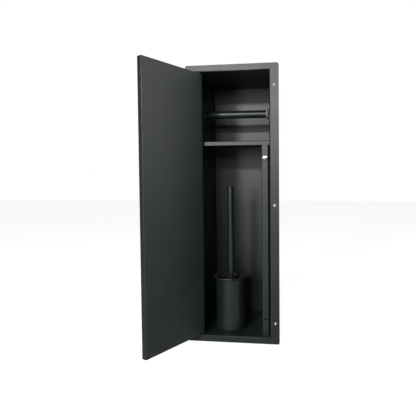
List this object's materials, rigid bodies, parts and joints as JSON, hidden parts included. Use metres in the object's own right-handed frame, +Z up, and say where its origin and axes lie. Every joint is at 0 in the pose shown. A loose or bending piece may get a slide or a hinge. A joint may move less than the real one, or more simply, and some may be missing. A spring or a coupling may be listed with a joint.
{
  "type": "recessed bathroom niche",
  "caption": "Black steel niche let into a wall beside a toilet: a flush swing door, a shelf, a roll bar, a push latch on a post, and a toilet brush standing in its cup.",
  "frame": {"origin": "centre of the flange's screw pattern, on the wall's surface (the back face of the flange)", "axes": "+Z up, +Y into the wall, -Y towards the room, +X to the right as seen from the room"},
  "size_m": [0.2719, 0.3298, 0.658],
  "materials": {
    "powder_coat": "fine-textured satin black powder coat",
    "chrome": "polished chrome",
    "zinc_steel": "zinc-plated",
    "spring_steel": "bright steel",
    "magnet": "nickel-plated",
    "black_plastic": "moulded black plastic",
    "black_rubber": "matt rubber",
    "core_board": "light board, out of sight inside the door",
    "bristles": "stiff black nylon bristles"
  },
  "bodies": {
    "niche": {"front_frame": "powder_coat", "side_wrap": "powder_coat", "ceiling_panel": "powder_coat", "floor_panel": "powder_coat", "shelf": "powder_coat", "shelf_rivets": "powder_coat", "latch_post": "powder_coat", "post_foot_screw": "zinc_steel", "post_foot_nut": "zinc_steel", "top_pivot_bracket": "powder_coat", "bottom_pivot_bracket": "powder_coat", "top_pivot_bush": "black_plastic", "bottom_pivot_bush": "black_plastic", "pivot_washer": "black_plastic", "latch_barrel": "chrome", "latch_clip": "spring_steel", "latch_end_cap": "black_plastic", "latch_spring": "spring_steel", "bar_stud": "spring_steel", "stud_screw": "zinc_steel", "stud_magnet": "magnet"},
    "door": {"door_tray": "powder_coat", "door_front_panel": "powder_coat", "door_core": "core_board", "top_pivot_block": "spring_steel", "bottom_pivot_block": "spring_steel", "top_pivot_pin": "spring_steel", "bottom_pivot_pin": "spring_steel"},
    "latch": {"latch_plunger": "chrome", "plunger_magnet": "magnet"},
    "bar": {"roll_bar": "powder_coat", "bar_bushing": "black_plastic", "bar_end_disc": "zinc_steel"},
    "cup": {"cup_shell": "powder_coat", "cup_liner": "black_plastic", "cup_foot_ring": "black_rubber"},
    "brush": {"brush_handle": "powder_coat", "handle_cap": "powder_coat", "brush_ferrule": "black_plastic", "brush_core": "black_plastic", "brush_bristles": "bristles"}
  },
  "joints": [
    {"name": "door_hinge", "type": "hinge", "parent": "niche", "child": "door", "pos_m": [-0.0805, 0.0033, 0], "axis": [0, 0, 1], "range_deg": [-8, 117]},
    {"name": "latch_push", "type": "slide", "parent": "niche", "child": "latch", "axis": [0, 1, 0], "range_m": [-0.001, 0.0105], "deforming": ["latch_spring"]},
    {"name": "bar_pull", "type": "slide", "parent": "niche", "child": "bar", "axis": [1, 0, 0], "range_m": [0, 0.0135]},
    {"name": "cup_slide", "type": "slide", "parent": "niche", "child": "cup", "axis": [0, 1, 0], "range_m": [0, 0.075]},
    {"name": "brush_lift", "type": "slide", "parent": "cup", "child": "brush", "axis": [0, 0, 1], "range_m": [0, 0.1]}
  ],
  "couplings": [
    {"joint": "latch_push", "follows": "door_hinge", "m_per_rad": 0.005093}
  ]
}
